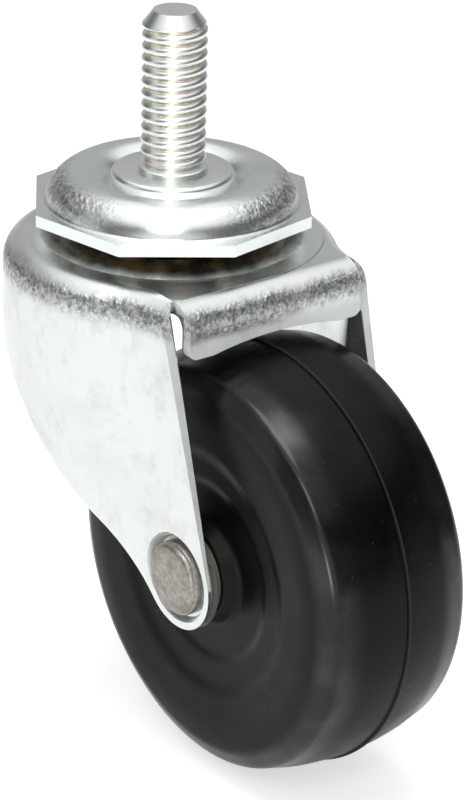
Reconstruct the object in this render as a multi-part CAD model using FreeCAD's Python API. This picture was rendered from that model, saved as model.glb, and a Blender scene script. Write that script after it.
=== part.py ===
import FreeCAD, Part
import math
import os

# Threaded stem castor: a soft rubber wheel in a drawn steel fork that swivels on two rows of balls.
# The origin is on the swivel axis, at the top face of the collar that seats against the furniture.
# +Z points up along the stem, and the wheel trails towards +X. All sizes are in millimetres.

# Stem, collar and kingpin, one cold-headed piece of steel
stem_diameter = 7.8
stem_length = 19.5
stem_tip_diameter = 5.0
stem_tip_length = 1.7
collar_diameter = 14.6
collar_height = 2.0
collar_bevel = 0.45
kingpin_diameter = 7.6
kingpin_neck_diameter = 6.5
kingpin_head_diameter = 9.2
kingpin_head_height = 1.7
kingpin_head_round = 0.8
riveting_clearance = 0.05

# Balls and their running clearance
upper_ball_diameter = 5.556
upper_ball_count = 12
upper_race_radius = 11.0
lower_ball_diameter = 4.763
lower_ball_count = 9
lower_race_radius = 7.1
ball_clearance = 0.05

# Top plate, pressed from octagonal sheet
plate_sheet = 1.4
plate_sides = 8
plate_across_flats = 32.2
plate_corner_turn = -11.9
bead_drop = 0.06
rim_drop = 3.5
bead_foot_radius = 0.5

# Crown of the fork, pressed into the head of one drawn sheet
fork_sheet = 1.4
fork_hole_diameter = 9.8
crown_land_drop = 5.0
crown_ridge_drop = 6.35
crown_drop = 8.1
crown_slope = 35.0
crown_edge_round = 0.4
crown_flat = 0.5

# Cup and legs of the fork
cup_radius = 20.1
cup_depth = 20.0
cup_radius_at_axle = 17.8
neck_radius = 20.0
shoulder_radius = 3.2
least_inner_bend = 0.1
leg_spread = 29.6
leg_spread_at_axle = 27.6
leg_front_reach = 17.8
leg_end_radius = 6.3
skirt_depth = 17.6
skirt_corner_x = -12.4
skirt_corner_radius = 8.0

# Lip at the front of the fork, and the slots beside it
lip_reach = 20.6
lip_width = 25.0
lip_drop = 14.5
lip_arch = 0.9
lip_arch_width = 18.0
lip_corner_radius = 1.2
slot_width = 0.9
slot_end_x = 17.0

# Lower race, a dished washer riveted on the kingpin
race_sheet = 1.4
race_land_depth = 1.6
race_rim_angle = 20.0

# Axle, spacer sleeve and the dimples that they seat in
axle_offset = 20.5
axle_drop = 41.6
axle_diameter = 6.3
axle_clearance = 0.05
axle_head_diameter = 9.2
axle_head_height = 1.7
axle_head_chamfer = 0.6
axle_peen_height = 1.4
dimple_depth = 1.0
dimple_diameter = 9.8
dimple_flare = 0.6
sleeve_diameter = 9.5

# Wheel, one moulding of black rubber
wheel_radius = 25.8
tread_width = 18.5
tread_crown = 1.35
tread_round = 0.9
flash_height = 0.3
flash_width = 0.5
wheel_width = 21.4
shoulder_band_height = 2.0
shoulder_band_inset = 0.7
widest_radius = 20.0
face_edge_radius = 15.8
face_edge_inset = 0.4
face_step_width = 1.0
face_step_depth = 0.45
face_floor_radius = 11.3
face_floor_inset = 1.3
face_floor_step = 0.2
hub_radius = 5.6
hub_taper = 0.8
hub_side_clearance = 0.2
bore_clearance = 0.05

# Two places this close together are the same
same_place = 1e-6

# The middle of a quarter arc lies this share of its radius inside each of the two sides
arc_middle = 1 - math.sqrt(0.5)

SWIVEL = FreeCAD.Vector(0, 0, 0)
UP = FreeCAD.Vector(0, 0, 1)
ACROSS = FreeCAD.Vector(0, 1, 0)
AXLE = FreeCAD.Vector(axle_offset, 0, -axle_drop)


def outline(start, steps):
    """Closed face in the XZ plane. A step is a point for a line, or a middle and an end for an arc."""
    edges = []
    here = FreeCAD.Vector(start[0], 0, start[1])
    for step in list(steps) + [start]:
        if isinstance(step[0], tuple):
            middle = FreeCAD.Vector(step[0][0], 0, step[0][1])
            there = FreeCAD.Vector(step[1][0], 0, step[1][1])
            edges.append(Part.Arc(here, middle, there).toShape())
        else:
            there = FreeCAD.Vector(step[0], 0, step[1])
            edges.append(Part.makeLine(here, there))
        here = there
    return Part.Face(Part.Wire(edges))


def turned(start, steps):
    """Solid of revolution about the swivel axis."""
    return outline(start, steps).revolve(SWIVEL, UP, 360)


def half_chord(radius, offset):
    """Half the chord of a circle that a line cuts at this distance from the centre."""
    return math.sqrt(radius ** 2 - offset ** 2)


def around(count, solid):
    """Copies of a solid, evenly spaced about the swivel axis."""
    copies = []
    for place in range(count):
        copy = solid.copy()
        copy.rotate(SWIVEL, UP, 360.0 * place / count)
        copies.append(copy)
    return copies


# The upper balls run in a groove that the plate's bead and the fork's crown share
groove_radius = upper_ball_diameter / 2 + ball_clearance
bead_radius = groove_radius + plate_sheet
upper_race_z = -bead_drop - bead_radius
crown_under_radius = groove_radius + fork_sheet

# The lower balls run under the same groove, and the dished washer holds them up to it
lower_reach = crown_under_radius + lower_ball_diameter / 2 + ball_clearance
lower_race_z = upper_race_z - half_chord(lower_reach, upper_race_radius - lower_race_radius)
dish_radius = lower_ball_diameter / 2 + ball_clearance
race_land_z = lower_race_z - race_land_depth


def threaded_stem():
    """Stem, collar, kingpin and upset head. The thread's crests lie on the plain cylinder."""
    neck_end_z = race_land_z - race_sheet
    head_z = neck_end_z - kingpin_head_height
    head_radius = kingpin_head_diameter / 2
    round_z = head_z + kingpin_head_round * arc_middle
    round_r = head_radius - kingpin_head_round * arc_middle
    return turned((0, stem_length), [
        (stem_tip_diameter / 2, stem_length),
        (stem_diameter / 2, stem_length - stem_tip_length),
        (stem_diameter / 2, 0),
        (collar_diameter / 2 - collar_bevel, 0),
        (collar_diameter / 2, -collar_bevel),
        (collar_diameter / 2, -collar_height),
        (kingpin_diameter / 2, -collar_height),
        (kingpin_diameter / 2, race_land_z),
        (kingpin_neck_diameter / 2, race_land_z),
        (kingpin_neck_diameter / 2, neck_end_z),
        (head_radius, neck_end_z),
        (head_radius, head_z + kingpin_head_round),
        ((round_r, round_z), (head_radius - kingpin_head_round, head_z)),
        (0, head_z)])


def top_plate():
    """Octagonal plate with a round bead, whose hollow side is the upper race."""
    land_z = -collar_height
    rim_z = -rim_drop
    hole = kingpin_diameter / 2 + riveting_clearance
    bead_in = upper_race_radius - half_chord(bead_radius, land_z - upper_race_z)
    bead_out = upper_race_radius + half_chord(bead_radius, rim_z - upper_race_z)
    groove_in = upper_race_radius - half_chord(groove_radius, land_z - plate_sheet - upper_race_z)
    groove_out = upper_race_radius + half_chord(groove_radius, rim_z - plate_sheet - upper_race_z)
    blank_radius = plate_across_flats / 2 / math.cos(math.pi / plate_sides)
    pressed = turned((hole, land_z), [
        (bead_in, land_z),
        ((upper_race_radius, -bead_drop), (bead_out, rim_z)),
        (2 * blank_radius, rim_z),
        (2 * blank_radius, rim_z - plate_sheet),
        (groove_out, rim_z - plate_sheet),
        ((upper_race_radius, upper_race_z + groove_radius), (groove_in, land_z - plate_sheet)),
        (hole, land_z - plate_sheet)])
    foot = [edge for edge in pressed.Edges
            if isinstance(edge.Curve, Part.Circle)
            and abs(edge.Curve.Radius - bead_out) < same_place
            and abs(edge.Curve.Center.z - rim_z) < same_place]
    pressed = pressed.makeFillet(bead_foot_radius, foot)
    corners = []
    for corner in range(plate_sides + 1):
        angle = math.radians(plate_corner_turn + 360.0 * corner / plate_sides)
        corners.append(FreeCAD.Vector(blank_radius * math.cos(angle), blank_radius * math.sin(angle),
                                      rim_z - 2 * plate_sheet))
    blank = Part.Face(Part.makePolygon(corners)).extrude(UP * (rim_drop + 3 * plate_sheet))
    return pressed.common(blank)


def upper_ball():
    return Part.makeSphere(upper_ball_diameter / 2, FreeCAD.Vector(upper_race_radius, 0, upper_race_z))


def lower_ball():
    return Part.makeSphere(lower_ball_diameter / 2, FreeCAD.Vector(lower_race_radius, 0, lower_race_z))


def lower_race_cup():
    """Dished washer under the lower balls, clamped between the kingpin's shoulder and its head."""
    hole = kingpin_neck_diameter / 2 + riveting_clearance
    under_radius = dish_radius + race_sheet
    rim = math.radians(race_rim_angle)
    dish_in = lower_race_radius - half_chord(dish_radius, race_land_depth)
    under_in = lower_race_radius - half_chord(under_radius, race_land_depth + race_sheet)
    return turned((hole, race_land_z), [
        (dish_in, race_land_z),
        ((lower_race_radius, lower_race_z - dish_radius),
         (lower_race_radius + dish_radius * math.cos(rim), lower_race_z - dish_radius * math.sin(rim))),
        (lower_race_radius + under_radius * math.cos(rim), lower_race_z - under_radius * math.sin(rim)),
        ((lower_race_radius, lower_race_z - under_radius), (under_in, race_land_z - race_sheet)),
        (hole, race_land_z - race_sheet)])


def crown():
    """Pressed head of the fork: land, ball groove, ridge and slope down to the flat of the cup."""
    hole = fork_hole_diameter / 2
    land_in = upper_race_radius - half_chord(groove_radius, crown_land_drop + upper_race_z)
    ridge_r = crown_ridge()
    foot_r = crown_foot()
    slope = math.atan2(crown_drop - crown_ridge_drop, foot_r - ridge_r)
    under_in = upper_race_radius - half_chord(crown_under_radius,
                                              crown_land_drop + fork_sheet + upper_race_z)
    # The slope's under side is a parallel line, which meets the groove's under side at this place
    line_r = ridge_r - fork_sheet * math.sin(slope) - upper_race_radius
    line_z = -crown_ridge_drop - fork_sheet * math.cos(slope) - upper_race_z
    along = line_r * math.cos(slope) - line_z * math.sin(slope)
    away = line_r * math.sin(slope) + line_z * math.cos(slope)
    run = half_chord(crown_under_radius, away) - along
    meet_r = upper_race_radius + line_r + run * math.cos(slope)
    meet_z = upper_race_z + line_z - run * math.sin(slope)
    flat_under_z = -crown_drop - fork_sheet
    under_foot_r = meet_r + (meet_z - flat_under_z) / math.tan(slope)
    edge_r = crown_edge()
    pressed = turned((hole, -crown_land_drop), [
        (land_in, -crown_land_drop),
        ((upper_race_radius, upper_race_z - groove_radius), (ridge_r, -crown_ridge_drop)),
        (foot_r, -crown_drop),
        (edge_r, -crown_drop),
        (edge_r, flat_under_z),
        (under_foot_r, flat_under_z),
        (meet_r, meet_z),
        ((upper_race_radius, upper_race_z - crown_under_radius),
         (under_in, -crown_land_drop - fork_sheet)),
        (hole, -crown_land_drop - fork_sheet)])
    bends = [edge for edge in pressed.Edges
             if isinstance(edge.Curve, Part.Circle)
             and min(abs(edge.Curve.Radius - ridge_r), abs(edge.Curve.Radius - foot_r)) < same_place]
    return pressed.makeFillet(crown_edge_round, bends)


def crown_ridge():
    """Radius of the ridge outside the ball groove."""
    return upper_race_radius + half_chord(groove_radius, crown_ridge_drop + upper_race_z)


def crown_foot():
    """Radius at which the slope outside the ridge meets the flat head, with room left for a shoulder."""
    foot = crown_ridge() + (crown_drop - crown_ridge_drop) / math.tan(math.radians(crown_slope))
    least_shoulder = fork_sheet + least_inner_bend
    return min(foot, cup_radius - least_shoulder - 2 * crown_flat)


def shoulder():
    """Bend from the head to the cup's wall, as large as the head has room for."""
    return min(shoulder_radius, cup_radius - crown_foot() - 2 * crown_flat)


def crown_edge():
    """Radius at which the pressed crown passes into the cup's flat head."""
    return cup_radius - shoulder() - crown_flat


def front_x(z):
    """Front edge of the legs, one straight line that is tangent to the round leg end."""
    top = FreeCAD.Vector(leg_front_reach, 0, -crown_drop)
    reach = AXLE - top
    lean = math.atan2(reach.x, -reach.z) + math.asin(leg_end_radius / reach.Length)
    return leg_front_reach + (-crown_drop - z) * math.tan(lean)


def half_spread(z):
    """Half the width over the legs, which draw in a little towards the axle."""
    share = (-crown_drop - z) / (axle_drop - crown_drop)
    return (leg_spread + (leg_spread_at_axle - leg_spread) * share) / 2


def plan_radius(z):
    """Radius of the cup, which is straight to its depth and then draws in a little behind the legs."""
    share = max(-cup_depth - z, 0) / (axle_drop - cup_depth)
    return cup_radius + (cup_radius_at_axle - cup_radius) * share


def plan(z, inset):
    """Outline of the fork at a height: the cup's arc, two hollow necks and the flats of the legs."""
    spread = half_spread(z)
    neck_y = spread + neck_radius
    neck_distance = plan_radius(z) + neck_radius
    neck_x = half_chord(neck_distance, neck_y)
    cup = plan_radius(z) - inset
    hollow = neck_radius + inset
    flat = spread - inset
    touch = FreeCAD.Vector(neck_x, neck_y, 0) * (cup / neck_distance)
    bisector = FreeCAD.Vector(-neck_x / neck_distance, -neck_y / neck_distance - 1, 0)
    bisector.normalize()
    middle = FreeCAD.Vector(neck_x, neck_y, 0) + bisector * hollow
    far_x = axle_offset + 3 * leg_end_radius

    def at(x, y):
        return FreeCAD.Vector(x, y, z)

    return Part.Wire([
        Part.makeLine(at(far_x, -flat), at(far_x, flat)),
        Part.makeLine(at(far_x, flat), at(neck_x, flat)),
        Part.Arc(at(neck_x, flat), at(middle.x, middle.y), at(touch.x, touch.y)).toShape(),
        Part.Arc(at(touch.x, touch.y), at(-cup, 0), at(touch.x, -touch.y)).toShape(),
        Part.Arc(at(touch.x, -touch.y), at(middle.x, -middle.y), at(neck_x, -flat)).toShape(),
        Part.makeLine(at(neck_x, -flat), at(far_x, -flat))])


def drawn_form(inset):
    """Solid that fills the cup and the space between its legs, this far inside the outer face."""
    top = -crown_drop - inset
    bottom = -axle_drop - 2 * leg_end_radius
    cup = Part.makeLoft([plan(top, inset), plan(-cup_depth, inset)], True, True)
    legs = Part.makeLoft([plan(-cup_depth, inset), plan(bottom, inset)], True, True)
    form = cup.fuse(legs).removeSplitter()
    bends = [edge for edge in form.Edges
             if all(abs(end.Z - top) < same_place for end in edge.Vertexes)
             and any(end.X < axle_offset for end in edge.Vertexes)]
    return form.makeFillet(max(shoulder() - inset, least_inner_bend), bends)


def side_profile():
    """Outline of the fork from the side: front edge, round leg end, rising rear edge and skirt."""
    z_top = -crown_drop + 1
    far = -2 * cup_radius
    front_top = FreeCAD.Vector(front_x(z_top), 0, z_top)
    front_low = FreeCAD.Vector(front_x(-axle_drop), 0, -axle_drop)
    lean = math.atan2(front_low.x - front_top.x, front_top.z - front_low.z)
    front_touch = AXLE + FreeCAD.Vector(math.cos(lean), 0, math.sin(lean)) * leg_end_radius
    skirt = FreeCAD.Vector(skirt_corner_x, 0, -skirt_depth)
    reach = AXLE - skirt
    pitch = math.atan2(-reach.z, reach.x) + math.asin(leg_end_radius / reach.Length)
    rear_touch = AXLE - FreeCAD.Vector(math.sin(pitch), 0, math.cos(pitch)) * leg_end_radius
    middle = (front_touch + rear_touch) * 0.5 - AXLE
    lowest = AXLE + middle * (leg_end_radius / middle.Length)
    rear_top = FreeCAD.Vector(far, 0, z_top)
    rear_low = FreeCAD.Vector(far, 0, -skirt_depth)
    edges = [Part.makeLine(rear_top, front_top),
             Part.makeLine(front_top, front_touch),
             Part.Arc(front_touch, lowest, rear_touch).toShape(),
             Part.makeLine(rear_touch, skirt),
             Part.makeLine(skirt, rear_low),
             Part.makeLine(rear_low, rear_top)]
    blade = Part.Face(Part.Wire(edges)).extrude(ACROSS * (4 * cup_radius))
    blade.translate(ACROSS * (-2 * cup_radius))
    corner = [edge for edge in blade.Edges
              if all(math.hypot(end.X - skirt.x, end.Z - skirt.z) < same_place for end in edge.Vertexes)]
    return blade.makeFillet(skirt_corner_radius, corner)


def lip():
    """Tongue of the head that bends down over the wheel, with an arched lower edge."""
    bend = shoulder_radius * arc_middle
    inner_bend = shoulder_radius - fork_sheet
    inner_mid = fork_sheet + inner_bend * arc_middle
    root_x = slot_end_x - shoulder_radius
    strip = outline((root_x, -crown_drop), [
        (lip_reach - shoulder_radius, -crown_drop),
        ((lip_reach - bend, -crown_drop - bend), (lip_reach, -crown_drop - shoulder_radius)),
        (lip_reach, -lip_drop),
        (lip_reach - fork_sheet, -lip_drop),
        (lip_reach - fork_sheet, -crown_drop - shoulder_radius),
        ((lip_reach - inner_mid, -crown_drop - inner_mid),
         (lip_reach - shoulder_radius, -crown_drop - fork_sheet)),
        (root_x, -crown_drop - fork_sheet)])
    tongue = strip.extrude(ACROSS * lip_width)
    tongue.translate(ACROSS * (-lip_width / 2))
    corners = [edge for edge in tongue.Edges
               if all(abs(end.Z + lip_drop) < same_place for end in edge.Vertexes)
               and edge.Vertexes[0].Y == edge.Vertexes[-1].Y]
    tongue = tongue.makeFillet(lip_corner_radius, corners)
    chord = lip_arch_width / 2
    arch_radius = (chord ** 2 + lip_arch ** 2) / (2 * lip_arch)
    arch_centre = FreeCAD.Vector(lip_reach - 1.5 * fork_sheet, 0, lip_arch - lip_drop - arch_radius)
    arch = Part.makeCylinder(arch_radius, 2 * fork_sheet, arch_centre, FreeCAD.Vector(1, 0, 0))
    return tongue.cut(arch)


def slot(side):
    """Cut between the lip and a leg, with a round end."""
    middle_y = side * (lip_width + slot_width) / 2
    depth = 2 * cup_radius
    top = FreeCAD.Vector(slot_end_x + slot_width / 2, middle_y, -crown_drop + 1)
    round_end = Part.makeCylinder(slot_width / 2, depth, top, -UP)
    straight = Part.makeBox(cup_radius, slot_width, depth,
                            top - FreeCAD.Vector(0, slot_width / 2, depth))
    return round_end.fuse(straight)


def dimple_floor():
    """Distance from the middle plane to the outer face that the axle heads seat on."""
    return leg_spread_at_axle / 2 - dimple_depth


def along_axle(side, start, length, radius_at_start, radius_at_end):
    """Cone or cylinder on the axle, drawn outwards on one side."""
    place = AXLE + ACROSS * (side * start)
    direction = ACROSS * side
    if abs(radius_at_start - radius_at_end) < same_place:
        return Part.makeCylinder(radius_at_start, length, place, direction)
    return Part.makeCone(radius_at_start, radius_at_end, length, place, direction)


def horn():
    """Fork: crown, cup, legs and lip, all drawn and cut from one sheet."""
    shell = drawn_form(0).cut(drawn_form(fork_sheet))
    shell = shell.common(side_profile())
    opening = Part.makeCylinder(crown_edge(), 2 * crown_drop, FreeCAD.Vector(0, 0, -2 * crown_drop))
    shell = shell.cut(opening)
    for side in (-1, 1):
        shell = shell.cut(slot(side))
    shell = shell.fuse([crown(), lip()])
    recess = dimple_diameter / 2
    boss = recess + dimple_flare
    floor = dimple_floor()
    for side in (-1, 1):
        shell = shell.fuse(along_axle(side, floor - fork_sheet, fork_sheet + dimple_depth / 2, boss, boss))
        shell = shell.cut(along_axle(side, floor, 2 * dimple_depth, recess, recess + 2 * dimple_flare))
        shell = shell.cut(along_axle(side, 0, 2 * floor, axle_diameter / 2 + axle_clearance,
                                     axle_diameter / 2 + axle_clearance))
    return shell.removeSplitter()


def axle_rivet():
    """Axle with a formed head, peened over at the far end."""
    floor = dimple_floor()
    head_radius = axle_head_diameter / 2
    face_radius = head_radius - axle_head_chamfer
    rivet = along_axle(-1, -floor, 2 * floor, axle_diameter / 2, axle_diameter / 2)
    head = along_axle(-1, floor, axle_head_height - axle_head_chamfer, head_radius, head_radius)
    bevel = along_axle(-1, floor + axle_head_height - axle_head_chamfer, axle_head_chamfer,
                       head_radius, face_radius)
    peen_base = along_axle(1, floor, axle_peen_height / 2, head_radius, head_radius)
    peen_top = along_axle(1, floor + axle_peen_height / 2, axle_peen_height / 2,
                          head_radius, head_radius - axle_peen_height)
    return rivet.fuse([head, bevel, peen_base, peen_top]).removeSplitter()


def axle_sleeve():
    """Steel spacer that the rivet clamps between the two dimples, and that the wheel turns on."""
    half = dimple_floor() - fork_sheet
    tube = along_axle(1, -half, 2 * half, sleeve_diameter / 2, sleeve_diameter / 2)
    bore = axle_diameter / 2 + axle_clearance
    return tube.cut(along_axle(1, -half, 2 * half, bore, bore))


def wheel():
    """Moulded wheel, with a crowned tread, a flash line and stepped side faces."""
    bore = sleeve_diameter / 2 + bore_clearance
    hub_y = dimple_floor() - fork_sheet - hub_side_clearance
    wide_y = wheel_width / 2
    tread_y = tread_width / 2
    edge_r = wheel_radius - tread_crown
    half = [(bore, hub_y),
            (hub_radius, hub_y),
            (hub_radius + hub_taper, wide_y - face_floor_inset - face_floor_step),
            (face_floor_radius, wide_y - face_floor_inset - face_floor_step),
            (face_floor_radius, wide_y - face_floor_inset),
            (face_edge_radius - face_step_width, wide_y - face_edge_inset - face_step_depth),
            (face_edge_radius, wide_y - face_edge_inset),
            (widest_radius, wide_y),
            (edge_r - shoulder_band_height, wide_y - shoulder_band_inset),
            (edge_r, tread_y)]
    # The tread's arc passes through both shoulders and the crown, and the flash stands on its middle
    tread_radius = (tread_y ** 2 + tread_crown ** 2) / (2 * tread_crown)
    middle_y = (tread_y + flash_width / 2) / 2
    middle_r = wheel_radius - tread_radius + half_chord(tread_radius, middle_y)
    flash_r = wheel_radius - tread_radius + half_chord(tread_radius, flash_width / 2)
    section = [AXLE + FreeCAD.Vector(0, y, r) for r, y in half]
    flash = AXLE + FreeCAD.Vector(0, flash_width / 2, flash_r)
    crest = AXLE + FreeCAD.Vector(0, 0, wheel_radius + flash_height)
    edges = [Part.makeLine(AXLE + FreeCAD.Vector(0, 0, bore), section[0])]
    edges += [Part.makeLine(a, b) for a, b in zip(section, section[1:])]
    edges.append(Part.Arc(section[-1], AXLE + FreeCAD.Vector(0, middle_y, middle_r), flash).toShape())
    edges.append(Part.makeLine(flash, crest))
    edges.append(Part.makeLine(crest, AXLE + FreeCAD.Vector(0, 0, bore)))
    right = Part.Face(Part.Wire(edges)).revolve(AXLE, ACROSS, 360)
    tread_edge = [edge for edge in right.Edges
                  if isinstance(edge.Curve, Part.Circle) and abs(edge.Curve.Radius - edge_r) < same_place]
    right = right.makeFillet(tread_round, tread_edge)
    left = right.mirror(SWIVEL, ACROSS)
    return right.fuse(left).removeSplitter()


os.makedirs("parts", exist_ok=True)
pieces = {"threaded_stem": threaded_stem(),
          "top_plate": top_plate(),
          "lower_race_cup": lower_race_cup(),
          "horn": horn(),
          "axle_rivet": axle_rivet(),
          "axle_sleeve": axle_sleeve(),
          "wheel": wheel()}
for number, ball in enumerate(around(upper_ball_count, upper_ball()), 1):
    pieces["upper_ball_%02d" % number] = ball
for number, ball in enumerate(around(lower_ball_count, lower_ball()), 1):
    pieces["lower_ball_%02d" % number] = ball
for name, shape in pieces.items():
    shape.exportStep("parts/" + name + ".step")
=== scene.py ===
import math

import bmesh
import bpy
from mathutils import Matrix, Vector


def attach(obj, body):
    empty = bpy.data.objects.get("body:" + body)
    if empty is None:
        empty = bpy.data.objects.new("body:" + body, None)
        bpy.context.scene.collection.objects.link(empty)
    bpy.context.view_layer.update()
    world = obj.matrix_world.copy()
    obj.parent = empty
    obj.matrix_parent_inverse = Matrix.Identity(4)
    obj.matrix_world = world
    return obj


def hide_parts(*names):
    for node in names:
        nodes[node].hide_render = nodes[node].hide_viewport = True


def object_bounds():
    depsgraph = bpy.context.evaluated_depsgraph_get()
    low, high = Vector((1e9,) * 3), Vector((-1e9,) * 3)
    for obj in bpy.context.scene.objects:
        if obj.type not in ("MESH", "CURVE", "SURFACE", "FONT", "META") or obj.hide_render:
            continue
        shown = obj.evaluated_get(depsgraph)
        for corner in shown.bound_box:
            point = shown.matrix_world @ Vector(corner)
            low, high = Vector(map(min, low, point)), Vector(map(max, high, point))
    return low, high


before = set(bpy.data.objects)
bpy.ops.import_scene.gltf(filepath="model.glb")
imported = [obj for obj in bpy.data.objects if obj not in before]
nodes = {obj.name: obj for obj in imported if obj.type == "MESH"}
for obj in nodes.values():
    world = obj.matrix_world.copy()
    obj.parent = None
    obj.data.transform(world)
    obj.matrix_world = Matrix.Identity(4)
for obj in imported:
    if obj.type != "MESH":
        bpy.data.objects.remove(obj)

cad_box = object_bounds()


# View of the castor
# The camera stands a little above it, on the side that the wheel trails towards, with a long lens.
# Its place is in millimetres from the collar's top, which is the frame's origin.
MM = 0.001
camera_place = Vector((296.93, -219.78, 135.83)) * MM
camera_aim = Vector((12.59, 0.0, -25.32)) * MM
camera_roll = math.radians(1.4)
camera_lens = 149.84

camera_data = bpy.data.cameras.new("camera")
camera_data.lens = camera_lens
camera_data.sensor_width = 36.0
camera_data.clip_start = 0.01
camera_data.clip_end = 20.0
camera = bpy.data.objects.new("camera", camera_data)
bpy.context.scene.collection.objects.link(camera)
look = (camera_aim - camera_place).to_track_quat("-Z", "Y").to_matrix().to_4x4()
camera.matrix_world = Matrix.Translation(camera_place) @ look @ Matrix.Rotation(camera_roll, 4, "Z")
bpy.context.scene.camera = camera


# Threaded stem, with its collar and kingpin
# One cold-headed piece of steel: the thread is rolled, the collar is upset with a small bevel, and
# the kingpin's end is riveted over under the lower race. The whole piece is bright zinc plated.
stem_length = 19.5
stem_radius = 3.9
thread_pitch = 1.411
thread_depth = 0.58
thread_roundness = 0.85
thread_tip_radius = 2.6
thread_tip_length = 1.7
thread_start = 1.0
thread_runs_in = (0.6, 1.6)
thread_steps = 96
thread_rings = 280
root_ring_radius = 4.2
root_ring_height = 0.55
root_tint_radius = 3.4
collar_radius = 7.3
collar_height = 2.0
collar_bevel = 0.45
kingpin_radius = 3.8
kingpin_shoulder = -11.3
kingpin_neck_radius = 3.25
riveted_radius = 4.6
riveted_from = -12.7
riveted_end = -14.4
turning_steps = 96
same_place = 0.002


class Field:
    """A shader socket that can be added, multiplied and compared like a number."""

    def __init__(self, paint, socket):
        self.paint = paint
        self.socket = socket

    def math(self, operation, *others):
        inputs = [self] + list(others)
        return self.paint.node("ShaderNodeMath", {"operation": operation}, dict(enumerate(inputs)))

    def __add__(self, other):
        return self.math("ADD", other)

    def __radd__(self, other):
        return self.math("ADD", other)

    def __sub__(self, other):
        return self.math("SUBTRACT", other)

    def __rsub__(self, other):
        return self.paint.node("ShaderNodeMath", {"operation": "SUBTRACT"}, {0: other, 1: self})

    def __mul__(self, other):
        return self.math("MULTIPLY", other)

    def __rmul__(self, other):
        return self.math("MULTIPLY", other)

    def __truediv__(self, other):
        return self.math("DIVIDE", other)

    def power(self, exponent):
        return self.math("POWER", exponent)

    def least(self, other):
        return self.math("MINIMUM", other)

    def most(self, other):
        return self.math("MAXIMUM", other)

    def part(self, name):
        """X, Y or Z of a vector."""
        return self.paint.node("ShaderNodeSeparateXYZ", {}, {0: self}, name)

    def size(self):
        return self.math("ABSOLUTE")

    def sine(self):
        return self.math("SINE")

    def band(self, low, high):
        """0 below low and 1 above high, with a smooth rise between; high may be the smaller."""
        settings = {"interpolation_type": "SMOOTHSTEP", "clamp": True}
        sockets = {"Value": self, "From Min": low, "From Max": high}
        return self.paint.node("ShaderNodeMapRange", settings, sockets)


class Paint:
    """A material, or the world, with one method that adds any node."""

    def __init__(self, owner, output="ShaderNodeOutputMaterial", place="Object"):
        owner.use_nodes = True
        self.owner = owner
        self.tree = owner.node_tree
        self.tree.nodes.clear()
        self.output = self.tree.nodes.new(output)
        self.place = self.node("ShaderNodeTexCoord", {}, {}, place)

    def node(self, kind, settings, sockets, output=0):
        made = self.tree.nodes.new(kind)
        for name, value in settings.items():
            setattr(made, name, value)
        for name, value in sockets.items():
            if isinstance(value, Field):
                self.tree.links.new(value.socket, made.inputs[name])
            else:
                made.inputs[name].default_value = value
        return Field(self, made.outputs[output])

    def axis(self, name):
        """One coordinate of the object, in millimetres."""
        return self.place.part(name) / MM

    def noise(self, per_metre, detail=3.0, rough=0.5, stretch=(1, 1, 1), shift=(0, 0, 0)):
        """Noise from 0 to 1 with a mean of a half; stretch makes it coarser along an axis."""
        scale = tuple(1 / s for s in stretch)
        spot = self.node("ShaderNodeMapping", {"vector_type": "POINT"},
                         {"Vector": self.place, "Location": shift, "Scale": scale})
        return self.node("ShaderNodeTexNoise", {"noise_dimensions": "3D"},
                         {"Vector": spot, "Scale": per_metre, "Detail": detail, "Roughness": rough})

    def from_line(self, first="X", second="Y", middle=(0.0, 0.0)):
        """Distance in millimetres from a line along the third axis, by default the swivel axis."""
        across = self.axis(first) - middle[0]
        along = self.axis(second) - middle[1]
        return (across.power(2) + along.power(2)).power(0.5)

    def mix(self, factor, first, second):
        """Colour between two colours."""
        return self.node("ShaderNodeMix", {"data_type": "RGBA", "clamp_factor": True},
                         {0: factor, 6: first, 7: second}, 2)

    def bump(self, height, depth, strength=1.0, under=None):
        """Relief of this depth in millimetres, on top of another relief if there is one."""
        sockets = {"Height": height, "Distance": depth * MM, "Strength": strength}
        if under is not None:
            sockets["Normal"] = under
        return self.node("ShaderNodeBump", {}, sockets)

    def surface(self, sockets, fixed):
        """Principled surface: sockets may vary over it, and fixed ones are plain values."""
        values = dict(fixed)
        values.update(sockets)
        return self.finish(self.node("ShaderNodeBsdfPrincipled", {}, values))

    def finish(self, shader):
        """Ends the node tree in its output."""
        self.tree.links.new(shader.socket, self.output.inputs["Surface"])
        return self.owner


def grey(value, warm=0.0):
    """Opaque grey, a little warm or, below 0, a little cool."""
    return (value * (1 + warm), value, value * (1 - warm), 1.0)


def wear(piece, material):
    """Gives a piece its finish."""
    piece.data.materials.clear()
    piece.data.materials.append(material)


def add_piece(name, mesh, body, material):
    """Puts a finished mesh in the scene on the body that carries it."""
    piece = bpy.data.objects.new(name, mesh)
    bpy.context.scene.collection.objects.link(piece)
    wear(piece, material)
    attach(piece, body)
    return piece


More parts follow.
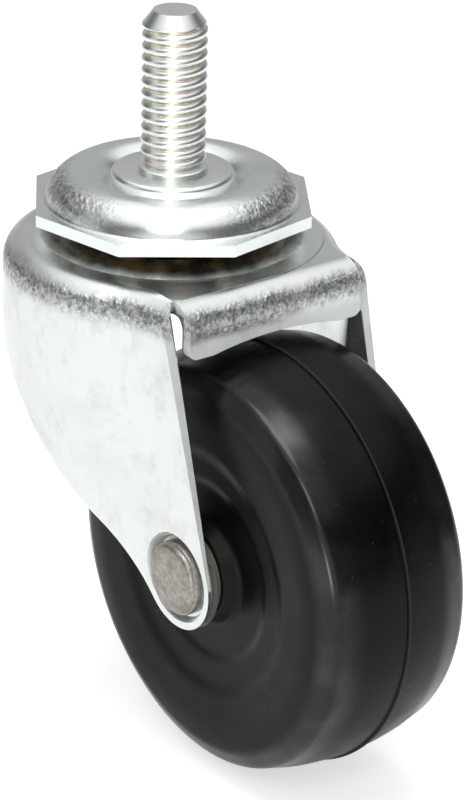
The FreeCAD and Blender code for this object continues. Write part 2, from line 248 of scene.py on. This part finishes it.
class Recipe:
    """A Geometry Nodes tree with named sizes and one method that adds any node."""

    def __init__(self, name):
        self.tree = bpy.data.node_groups.new(name, "GeometryNodeTree")
        self.tree.interface.new_socket("Geometry", in_out="OUTPUT", socket_type="NodeSocketGeometry")
        self.entry = self.tree.nodes.new("NodeGroupInput")
        self.exit = self.tree.nodes.new("NodeGroupOutput")
        self.sizes = {}

    node = Paint.node

    def named(self, name, value):
        """A named input of the tree, with the value that this piece gives it."""
        socket = self.tree.interface.new_socket(name, in_out="INPUT", socket_type="NodeSocketFloat")
        self.sizes[socket.identifier] = value
        return Field(self, self.entry.outputs[name])

    def mesh(self, geometry, material):
        """Runs the tree once and returns its result as a plain mesh."""
        real = self.node("GeometryNodeRealizeInstances", {}, {"Geometry": geometry})
        done = self.node("GeometryNodeSetMaterial", {}, {"Geometry": real, "Material": material})
        self.tree.links.new(done.socket, self.exit.inputs[0])
        holder = bpy.data.objects.new(self.tree.name, bpy.data.meshes.new(self.tree.name))
        bpy.context.scene.collection.objects.link(holder)
        modifier = holder.modifiers.new("recipe", "NODES")
        modifier.node_group = self.tree
        for identifier, value in self.sizes.items():
            modifier[identifier] = value
        graph = bpy.context.evaluated_depsgraph_get()
        mesh = bpy.data.meshes.new_from_object(holder.evaluated_get(graph), depsgraph=graph)
        bpy.data.objects.remove(holder)
        return mesh


def zinc_finish(name, tone, grain_and_shade_mask=None, grease_and_shade_mask=None, stain_and_shade=None, edge_mask=None,
                tint=0.5, rough=0.3):
    """Bright zinc plate: cloudy, faintly tinted, lightly scuffed, and grainy where it was bent."""
    old_grease_and_shade = (0.016, 0.012, 0.007, 1)
    thin_grease_and_shade = (0.085, 0.06, 0.025, 1)
    paint = Paint(bpy.data.materials.new(name))
    cloud = paint.noise(160, 2.0, 0.55)
    patch = paint.noise(70, 3.0, 0.6, shift=(0.3, 0.1, 0.7))
    fine = paint.noise(2200, 2.0, 0.6)
    scuff = paint.noise(900, 3.0, 0.7, stretch=(1, 1, 7))
    cool = (tone * 0.935, tone, tone * 0.985, 1.0)
    warm = (tone * 0.985, tone * 0.99, tone * 0.955, 1.0)
    colour = paint.mix((cloud * 2.0 - 0.5) * tint, cool, warm)
    colour = paint.mix(patch.band(0.5, 0.72) * 0.3, colour, grey(tone * 0.74, -0.02))
    roughness = cloud * 0.12 + fine * 0.08 + (rough - 0.1)
    normal = paint.bump(fine * 0.3 + scuff * 0.4, 0.03, 0.35)
    # Grain darkens the colour in speckles and in a band; on the top plate's bead this darkening is also
    # painted shade.
    if grain_and_shade_mask is not None:
        mask = grain_and_shade_mask(paint)
        speck = paint.noise(2300, 3.0, 0.65, stretch=(1, 1, 1.4))
        pit = paint.noise(1100, 2.0, 0.6, shift=(3, 1, 2))
        dark = (speck.band(0.40, 0.60) * 0.6 + pit.band(0.4, 0.62) * 0.4) * mask
        colour = paint.mix(dark * 0.75 + mask * 0.16, colour, grey(tone * 0.2, -0.04))
        roughness = roughness + mask * 0.1
        normal = paint.bump((speck + pit) * mask, 0.16, 0.9, normal)
    if stain_and_shade is not None:
        share, shade = stain_and_shade(paint)
        colour = paint.mix(share, colour, shade)
    metallic = 1.0
    # Grease colour; on the fork it also paints shade under the plate's edge and inside the cup and
    # legs.
    if grease_and_shade_mask is not None:
        grease_and_shade = grease_and_shade_mask(paint)
        smear = paint.noise(330, 3.0, 0.6)
        colour = paint.mix(grease_and_shade, colour, paint.mix(smear.band(0.35, 0.7), old_grease_and_shade, thin_grease_and_shade))
        roughness = roughness * (1 - grease_and_shade * 0.4)
        metallic = 1 - grease_and_shade * 0.75
    if edge_mask is not None:
        edge = edge_mask(paint)
        metallic = metallic * (1 - edge * 0.8)
        roughness = roughness + edge * 0.2
    return paint.surface({"Base Color": colour, "Roughness": roughness, "Metallic": metallic,
                          "Normal": normal}, {})


def turned_mesh(name, outline, axis, steps, centre=(0, 0, 0)):
    """Mesh of revolution from (radius, place along the axis) points; radius 0 closes an end."""
    axis = Vector(axis)
    centre = Vector(centre)
    first = axis.orthogonal().normalized()
    second = axis.cross(first)
    points = []
    rings = []
    for radius, along in outline:
        if radius == 0:
            rings.append([len(points)])
            points.append((centre + axis * along) * MM)
            continue
        ring = []
        for step in range(steps):
            turn = 2 * math.pi * step / steps
            ring.append(len(points))
            outwards = first * math.cos(turn) + second * math.sin(turn)
            points.append((centre + axis * along + outwards * radius) * MM)
        rings.append(ring)
    faces = []
    for near, far in zip(rings, rings[1:]):
        for step in range(steps):
            after = (step + 1) % steps
            corners = [near[step % len(near)], near[after % len(near)],
                       far[after % len(far)], far[step % len(far)]]
            faces.append(list(dict.fromkeys(corners)))
    mesh = bpy.data.meshes.new(name)
    mesh.from_pydata(points, [], faces)
    return mesh


def root_tints(paint):
    """Pink and straw tints that the plating leaves in the thread's roots."""
    pink = (0.92, 0.72, 0.70, 1)
    straw = (0.90, 0.84, 0.62, 1)
    height = paint.axis("Z")
    tip_starts = stem_length - thread_tip_length
    threaded = height.band(thread_start - 0.5, thread_start + 0.5)
    threaded = threaded * height.band(tip_starts + 0.3, tip_starts - 0.2)
    roots = paint.from_line().band(stem_radius - 0.1, root_tint_radius) * threaded
    hue = paint.noise(170, 1.0, 0.5, shift=(0.2, 0.4, 0.1))
    return roots * 0.55, paint.mix(hue.band(0.42, 0.58), pink, straw)


zinc_stem = zinc_finish("zinc_stem", 0.9, tint=0.9, rough=0.3, stain_and_shade=root_tints)

thread = Recipe("thread")
crest = thread.named("crest radius", stem_radius)
depth = thread.named("thread depth", thread_depth)
pitch = thread.named("pitch", thread_pitch)
tip = thread.named("tip radius", thread_tip_radius)
tip_length = thread.named("tip length", thread_tip_length)
grid = thread.node("GeometryNodeMeshGrid", {},
                   {"Size X": 1.0, "Size Y": 1.0,
                    "Vertices X": thread_steps + 1, "Vertices Y": thread_rings + 1})
spot = thread.node("GeometryNodeInputPosition", {}, {})
around = spot.part("X") + 0.5
along = (spot.part("Y") + 0.5) * stem_length
turns = (along / pitch - around).math("FRACT")
flank = ((turns * 2 - 1).size() * (math.pi / 2)).sine().power(thread_roundness)
running_in = along.band(*thread_runs_in)
thread_radius = crest - depth + flank * depth * running_in
taper = tip + (stem_length - along) * (crest - tip) / tip_length
ring_rise = root_ring_radius - stem_radius + thread_depth
ring = along.band(root_ring_height * 1.7, root_ring_height * 0.7) * ring_rise
shaped = thread_radius.most(crest - depth + ring).least(taper)
angle = around * (2 * math.pi)
placed = thread.node("ShaderNodeCombineXYZ", {}, {"X": angle.math("COSINE") * shaped * MM,
                                                  "Y": angle.sine() * shaped * MM, "Z": along * MM})
wrapped = thread.node("GeometryNodeSetPosition", {}, {"Geometry": grid, "Position": placed})
joined = thread.node("GeometryNodeMergeByDistance", {},
                     {"Geometry": wrapped, "Distance": same_place * MM / 2})
smooth = thread.node("GeometryNodeSetShadeSmooth", {}, {"Geometry": joined})
thread_mesh = thread.mesh(smooth, zinc_stem)

collar_edge = collar_radius - collar_bevel
tip_outline = [(0, stem_length), (thread_tip_radius * 0.55, stem_length),
               (thread_tip_radius, stem_length)]
collar_outline = [(root_ring_radius, 0), (root_ring_radius + 0.12, 0), (collar_edge, 0),
                  (collar_edge + 0.16, -0.06), (collar_radius - 0.06, -collar_bevel + 0.12),
                  (collar_radius, -collar_bevel - 0.05), (collar_radius, -collar_height),
                  (kingpin_radius, -collar_height), (kingpin_radius, kingpin_shoulder),
                  (kingpin_neck_radius, kingpin_shoulder), (kingpin_neck_radius, riveted_from),
                  (riveted_radius, riveted_from), (riveted_radius, riveted_end + 0.8),
                  (riveted_radius - 0.23, riveted_end + 0.24), (riveted_radius - 0.8, riveted_end),
                  (0, riveted_end)]


def merged(name, meshes):
    """One smooth mesh from several, with shared corners joined and hard edges kept."""
    build = bmesh.new()
    for mesh in meshes:
        build.from_mesh(mesh)
    bmesh.ops.remove_doubles(build, verts=build.verts, dist=same_place * MM)
    bmesh.ops.recalc_face_normals(build, faces=build.faces)
    whole = bpy.data.meshes.new(name)
    build.to_mesh(whole)
    build.free()
    whole.polygons.foreach_set("use_smooth", [True] * len(whole.polygons))
    whole.set_sharp_from_angle(angle=math.radians(40.0))
    return whole


tip_mesh = turned_mesh("tip", tip_outline, (0, 0, 1), turning_steps)
collar_mesh = turned_mesh("collar", collar_outline, (0, 0, 1), turning_steps)
stem_mesh = merged("rolled_thread_stem", [tip_mesh, thread_mesh, collar_mesh])
stem_piece = add_piece("rolled_thread_stem", stem_mesh, "stem_and_races", zinc_stem)
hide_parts("threaded_stem")


# Top plate
# Pressed from octagonal sheet; its round bead is the upper race, seen from outside, and it is zinc
# plated like the rest. The bead's flanks keep the grain that the press left in them, and carry painted
# shade on the two sides that lie across the camera's view.
bead_flank_starts = (11.8, 13.5)
bead_flank_fades = (15.5, 14.6)
across_view = (0.6, 0.8)


def bead_grain_and_shade(paint):
    """Grain and painted shade on the bead's outer slope, on the two sides across the camera's view."""
    radius = paint.from_line()
    # The sides across the camera's view get painted shade as well as grain.
    sideways = (paint.axis("X") * across_view[0] + paint.axis("Y") * across_view[1]).size() / radius
    return radius.band(*bead_flank_starts) * radius.band(*bead_flank_fades) * sideways.band(0.3, 0.85)


zinc_plate = zinc_finish("zinc_plate", 0.9, grain_and_shade_mask=bead_grain_and_shade, tint=0.5, rough=0.25)
wear(nodes["top_plate"], zinc_plate)


# Balls and lower race
# Two rows of hard steel balls run in grease between the pressed races. They show as a dark oily row
# in the gap under the plate. The lower race is a dished washer that the kingpin holds up.
def greased_steel(name, tone, brown_share):
    """Bare steel under a film of brown grease."""
    brown = (0.10, 0.065, 0.025, 1)
    paint = Paint(bpy.data.materials.new(name))
    smear = paint.noise(420, 3.0, 0.6)
    colour = paint.mix(smear.band(0.35, 0.65) * brown_share, grey(tone, 0.06), brown)
    return paint.surface({"Base Color": colour, "Roughness": smear * 0.25 + 0.15},
                         {"Metallic": 0.9, "Coat Weight": 0.5, "Coat Roughness": 0.15})


ball_steel = greased_steel("ball_steel", 0.42, 0.9)
for name in sorted(nodes):
    if name.startswith(("upper_ball", "lower_ball")):
        wear(nodes[name], ball_steel)
wear(nodes["lower_race_cup"], greased_steel("race_steel", 0.5, 0.5))


# Fork
# Drawn from one sheet: a cup with a pressed crown, two flat legs and a lip over the wheel. The bends
# are stretched, so the sheet is grainy there under its zinc, and the ball groove is full of grease.
# The crown just under the plate and the inside of the cup and legs are darkened with painted shade.
cup_top = -8.1
grain_starts = (-8.6, -9.7)
grain_fades = (-12.9, -10.8)
grain_wander = 1.2
grease_and_shade_edge = (16.8, 15.1)
grease_and_shade_wander = 1.4
leg_inside = 13.4
leg_draw = 1.0
cup_inside = 18.7
cup_draw = 2.3
draw_height = 33.5
inside_margin = 0.3
lip_inside = 19.4
lip_end = -14.6
lip_face = (19.9, 20.2)
lip_half_width = 12.6
lip_dull = (-11.8, -13.2)
leg_front_top = 17.8
leg_front_lean = 0.2757
leg_edge = (12.2, 12.4)
crease_radius = 18.1
crease_edge = (0.16, 0.04)
crease_from_x = (10.0, 13.5)
crease_from_y = (-1.0, 2.0)


def bent_sheet(paint):
    """Bands of grain on the shoulder and on the lip's bend."""
    wander = paint.noise(260, 2.0, 0.5, shift=(2, 2, 2)) * grain_wander
    height = paint.axis("Z") + wander - grain_wander / 2
    return height.band(*grain_starts) * height.band(*grain_fades)


def grease_and_painted_shade(paint):
    """Dark oily film in the crown's groove, carried out to a wandering edge as painted shade, and
    painted shade inside the cup and legs.
    """
    height = paint.axis("Z")
    radius = paint.from_line()
    wander = paint.noise(300, 2.0, 0.5) * grease_and_shade_wander
    # Grease in the groove, spread out past the ridge as painted shade under the plate's edge.
    crown = (radius + wander).band(*grease_and_shade_edge) * height.band(cup_top - 1.5, cup_top - 1.3)
    drawn = (height - cup_top) / draw_height
    in_cup = radius - drawn * cup_draw - (cup_inside + inside_margin)
    in_legs = paint.axis("Y").size() - drawn * leg_draw - (leg_inside + inside_margin)
    lip = paint.axis("X").band(lip_inside, lip_inside + 0.1) * height.band(lip_end - 0.1, lip_end)
    between = in_legs.band(0.1, -0.1) * paint.axis("X").band(0.0, 0.5) * (1 - lip)
    # Painted shade over the inside of the cup and legs.
    inside = in_cup.band(0.1, -0.1).most(between) * height.band(cup_top - 1.2, cup_top - 1.5)
    return crown.most(inside * 0.8)


def stains_and_crease_shade(paint):
    """Painted shade along the crease arc on the head, and stains down the sides."""
    stain_and_shade_grey = (0.33, 0.34, 0.33, 1)
    head = paint.axis("Z").band(cup_top - 0.7, cup_top - 0.3)
    # Painted shade along the crease arc on the head.
    ring = (paint.from_line() - crease_radius).size().band(*crease_edge)
    quarter = paint.axis("X").band(*crease_from_x) * paint.axis("Y").band(*crease_from_y)
    streak = paint.noise(420, 4.0, 0.7, stretch=(1, 1, 2.5), shift=(4, 1, 2))
    blot = paint.noise(190, 4.0, 0.7, shift=(1, 7, 3))
    stains = streak.band(0.52, 0.75) * 0.2 + blot.band(0.5, 0.72) * 0.22
    return (head * ring * quarter * 0.8).most(stains * (1 - head)), stain_and_shade_grey


def cut_edge(paint):
    """White sheared edge at the front of each leg, and the dull white lower half of the lip."""
    height = paint.axis("Z")
    beside = paint.axis("Y").size()
    front = paint.axis("X") + (height - cup_top) * leg_front_lean - leg_front_top
    legs = front.band(-0.1, -0.04) * beside.band(*leg_edge)
    lip = paint.axis("X").band(*lip_face) * beside.band(lip_half_width + 0.2, lip_half_width)
    return legs.most(lip * height.band(*lip_dull) * 0.9)


zinc_fork = zinc_finish("zinc_fork", 0.85, grain_and_shade_mask=bent_sheet, grease_and_shade_mask=grease_and_painted_shade,
                        stain_and_shade=stains_and_crease_shade, edge_mask=cut_edge, tint=0.7, rough=0.31)
wear(nodes["horn"], zinc_fork)


# Axle
# A steel rivet through both legs, headed on one side and peened on the other. Its head sits in a
# round dimple, and has no plating left, so it is a mottled brownish grey.
axle_centre = (20.5, 0.0, -41.6)
axle_radius = 3.15
seat_half = 12.8
head_outline = [(0, -14.78), (2.2, -14.76), (3.5, -14.68), (3.95, -14.55), (4.15, -14.32), (4.2, -14.1),
                (4.42, -14.0), (4.5, -13.8), (4.5, -13.1), (4.4, -seat_half)]
peen_outline = [(4.3, seat_half), (4.3, 13.3), (4.0, 13.8), (3.3, 14.1), (2.0, 14.2), (0, 14.2)]


def rivet_steel():
    """Bare steel, brownish and mottled where the plating was hammered off."""
    paint = Paint(bpy.data.materials.new("rivet_steel"))
    dark = (0.27, 0.25, 0.23, 1)
    light = (0.46, 0.435, 0.405, 1)
    brown = (0.22, 0.175, 0.135, 1)
    mottle = paint.noise(1500, 4.0, 0.7)
    patch = paint.noise(420, 2.0, 0.5, shift=(1, 2, 3))
    colour = paint.mix(mottle.band(0.3, 0.7), dark, light)
    colour = paint.mix(patch.band(0.45, 0.75) * 0.6, colour, brown)
    normal = paint.bump(mottle, 0.14, 0.7)
    return paint.surface({"Base Color": colour, "Roughness": mottle * 0.15 + 0.28, "Normal": normal},
                         {"Metallic": 0.95})


rivet_outline = head_outline + [(axle_radius, -seat_half), (axle_radius, seat_half)] + peen_outline
turned_rivet = turned_mesh("rivet", rivet_outline, (0, 1, 0), turning_steps, axle_centre)
rivet_mesh = merged("headed_rivet", [turned_rivet])
rivet_piece = add_piece("headed_rivet", rivet_mesh, "fork", rivet_steel())
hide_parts("axle_rivet")
wear(nodes["axle_sleeve"], greased_steel("oily_sleeve", 0.16, 0.9))


# Wheel
# One moulding of black rubber, with a crowned tread, the mould's thin flash line round its middle
# and stepped rings on both faces. It is satin, and a little dusty and finger marked.
wheel_radius = 25.8
tread_half = 9.25
tread_drop = 1.35
face_half = 10.7
bore_radius = 4.8
hub_half = 11.2
tread_starts = 6.5
tread_points = 12
flash_rise = 0.3
flash_highlight = (0.16, 0.08)
dusty_from = (9.0, 9.8)
shoulder_out = (21.5, 23.2)
shoulder_across = (5.0, 8.5)
wheel_steps = 192


def rounded_line(corners, steps=6):
    """Line through (radius, across, round) corners, each cut by a curve that starts round before it."""
    line = []
    for before, corner, after in zip(corners, corners[1:], corners[2:]):
        here = Vector(corner[:2])
        back, on = Vector(before[:2]) - here, Vector(after[:2]) - here
        reach = min(corner[2], back.length * 0.5, on.length * 0.5)
        start, end = here + back.normalized() * reach, here + on.normalized() * reach
        for step in range(steps + 1):
            share = step / steps
            rest = 1 - share
            line.append(tuple(start * rest ** 2 + here * 2 * share * rest + end * share ** 2))
    return [tuple(corners[0][:2])] + line + [tuple(corners[-1][:2])]


side_outline = rounded_line([
    (bore_radius, hub_half, 0), (5.6, hub_half, 0.3), (6.6, 9.25, 0.6), (10.6, 9.15, 0.6),
    (11.5, 9.55, 0.6), (14.2, 9.75, 0.7), (15.6, 10.35, 0.7), (20.0, face_half, 1.2),
    (22.4, 10.35, 0.5), (23.2, 9.95, 0.7), (24.45, tread_half, 0.9), (24.75, 7.9, 1.0),
    (25.1, tread_starts, 0)])
tread_outline = []
for step in range(1, tread_points):
    across = tread_starts * (1 - step / tread_points)
    tread_outline.append((wheel_radius - tread_drop * (across / tread_half) ** 2, across))
flash_outline = [(wheel_radius, 0.34), (wheel_radius - 0.12, 0.26), (wheel_radius - 0.04, 0.2),
                 (wheel_radius + flash_rise, 0.06)]
half_outline = side_outline + tread_outline + flash_outline
wheel_outline = half_outline + [(radius, -across) for radius, across in reversed(half_outline)]
wheel_outline.append(wheel_outline[0])


def black_rubber():
    """Satin rubber, a little dusty, greyer on its faces, with a painted highlight along its flash, and
    shinier on its shoulders.
    """
    dusty_face = (0.0125, 0.0122, 0.0110, 1)
    paint = Paint(bpy.data.materials.new("black_rubber"))
    dust = paint.noise(140, 4.0, 0.6)
    fine = paint.noise(3200, 2.0, 0.6)
    speck = paint.noise(1500, 2.0, 0.5, shift=(5, 5, 5))
    across = paint.axis("Y").size()
    face = across.band(*dusty_from)
    colour = paint.mix(dust.band(0.4, 0.75) * 0.6, grey(0.0018, 0.03), grey(0.007, 0.07))
    colour = paint.mix(face * 0.4, colour, dusty_face)
    colour = paint.mix(speck.band(0.72, 0.78) * 0.4, colour, grey(0.09, 0.05))
    # Painted highlight: the flash ridge is painted a lighter grey.
    colour = paint.mix(across.band(*flash_highlight), colour, grey(0.03, 0.03))
    roughness = dust.band(0.3, 0.7) * 0.18 + fine * 0.06 + 0.2 + face * 0.1
    normal = paint.bump(fine, 0.03, 0.4)
    out = paint.from_line("X", "Z", (axle_centre[0], axle_centre[2]))
    shoulder = out.band(*shoulder_out) * across.band(*shoulder_across)
    rubbed = dust.band(0.35, 0.65) * 0.5 + 0.5
    return paint.surface({"Base Color": colour, "Roughness": roughness, "Normal": normal,
                          "Coat Weight": (shoulder * 0.85 + 0.03) * rubbed},
                         {"Metallic": 0.0, "Specular IOR Level": 0.15, "Coat Roughness": 0.2})


turned_wheel = turned_mesh("moulding", wheel_outline, (0, 1, 0), wheel_steps, axle_centre)
wheel_mesh = merged("moulded_wheel", [turned_wheel])
wheel_piece = add_piece("moulded_wheel", wheel_mesh, "wheel", black_rubber())
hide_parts("wheel")


# Studio
# A pale floor under the wheel, and soft lamps overhead, in front, at the side and low in front. The
# background is plain white. The metal shows the white floor, a white ceiling and dim walls.
floor_height = cad_box[0].z
floor_reach = 2.5
floor_tone = 0.8
floor_lift = 0.6
floor_in_metal = 0.35
soft_level = 0.5
front_turn = math.radians(-38)
front_wall = (0.72, 0.92)
front_tone = 0.6
back_wall = (-0.5, -0.85)
back_tone = 0.3
side_tone = 0.11
ceiling_starts = math.sin(math.radians(30))
ceiling_full = math.sin(math.radians(50))
lamp_aim = Vector((0.01, 0.0, -0.03))


def floor_finish():
    """Matt floor, lifted to white for the camera and for what the metal shows of it."""
    paint = Paint(bpy.data.materials.new("floor_finish"))
    seen = paint.node("ShaderNodeLightPath", {}, {}, "Is Camera Ray")
    mirrored = paint.node("ShaderNodeLightPath", {}, {}, "Is Glossy Ray")
    matt = paint.node("ShaderNodeBsdfDiffuse", {}, {"Color": grey(floor_tone)})
    lift = seen * floor_lift + mirrored * floor_in_metal
    glow = paint.node("ShaderNodeEmission", {}, {"Color": grey(1.0), "Strength": lift})
    return paint.finish(paint.node("ShaderNodeAddShader", {}, {0: matt, 1: glow}))


floor_corners = [(x * floor_reach, y * floor_reach, floor_height)
                 for x, y in ((-1, -1), (1, -1), (1, 1), (-1, 1))]
floor_mesh = bpy.data.meshes.new("floor")
floor_mesh.from_pydata(floor_corners, [], [(0, 1, 2, 3)])
floor_mesh.materials.append(floor_finish())
floor = bpy.data.objects.new("floor", floor_mesh)
bpy.context.scene.collection.objects.link(floor)


def studio_walls():
    """World: plain white behind the castor, soft light on it, and wall and ceiling in its metal."""
    sky = Paint(bpy.data.worlds.new("studio"), "ShaderNodeOutputWorld", "Generated")
    ceiling = sky.place.part("Z").band(ceiling_starts, ceiling_full)
    towards = sky.place.part("X") * math.cos(front_turn) + sky.place.part("Y") * math.sin(front_turn)
    wall = towards.band(*front_wall) * front_tone + towards.band(*back_wall) * back_tone + side_tone
    mirror = sky.node("ShaderNodeBackground", {}, {"Color": grey(1.0), "Strength": wall.most(ceiling)})
    soft = sky.node("ShaderNodeBackground", {}, {"Color": grey(1.0), "Strength": soft_level})
    white = sky.node("ShaderNodeBackground", {}, {"Color": grey(1.0), "Strength": 1.0})
    in_mirror = sky.node("ShaderNodeLightPath", {}, {}, "Is Glossy Ray")
    in_camera = sky.node("ShaderNodeLightPath", {}, {}, "Is Camera Ray")
    lit = sky.node("ShaderNodeMixShader", {}, {0: in_mirror, 1: soft, 2: mirror})
    return sky.finish(sky.node("ShaderNodeMixShader", {}, {0: in_camera, 1: lit, 2: white}))


bpy.context.scene.world = studio_walls()


def soft_lamp(name, place, width, height, power):
    """Rectangular area lamp that points at the castor's middle."""
    light = bpy.data.lights.new(name, "AREA")
    light.shape = "RECTANGLE"
    light.size = width
    light.size_y = height
    light.energy = power
    lamp = bpy.data.objects.new(name, light)
    bpy.context.scene.collection.objects.link(lamp)
    lamp.location = place
    lamp.rotation_euler = (lamp_aim - Vector(place)).to_track_quat("-Z", "Y").to_euler()


soft_lamp("overhead", (0.05, -0.05, 0.80), width=0.5, height=0.5, power=3.0)
soft_lamp("front", (0.55, -0.50, 0.60), width=0.28, height=0.28, power=1.2)
soft_lamp("left", (-0.45, -0.85, 0.30), width=0.5, height=0.7, power=0.6)
soft_lamp("low_front", (0.33, -0.42, -0.01), width=0.12, height=0.10, power=0.3)

bpy.context.scene.view_settings.view_transform = "Standard"
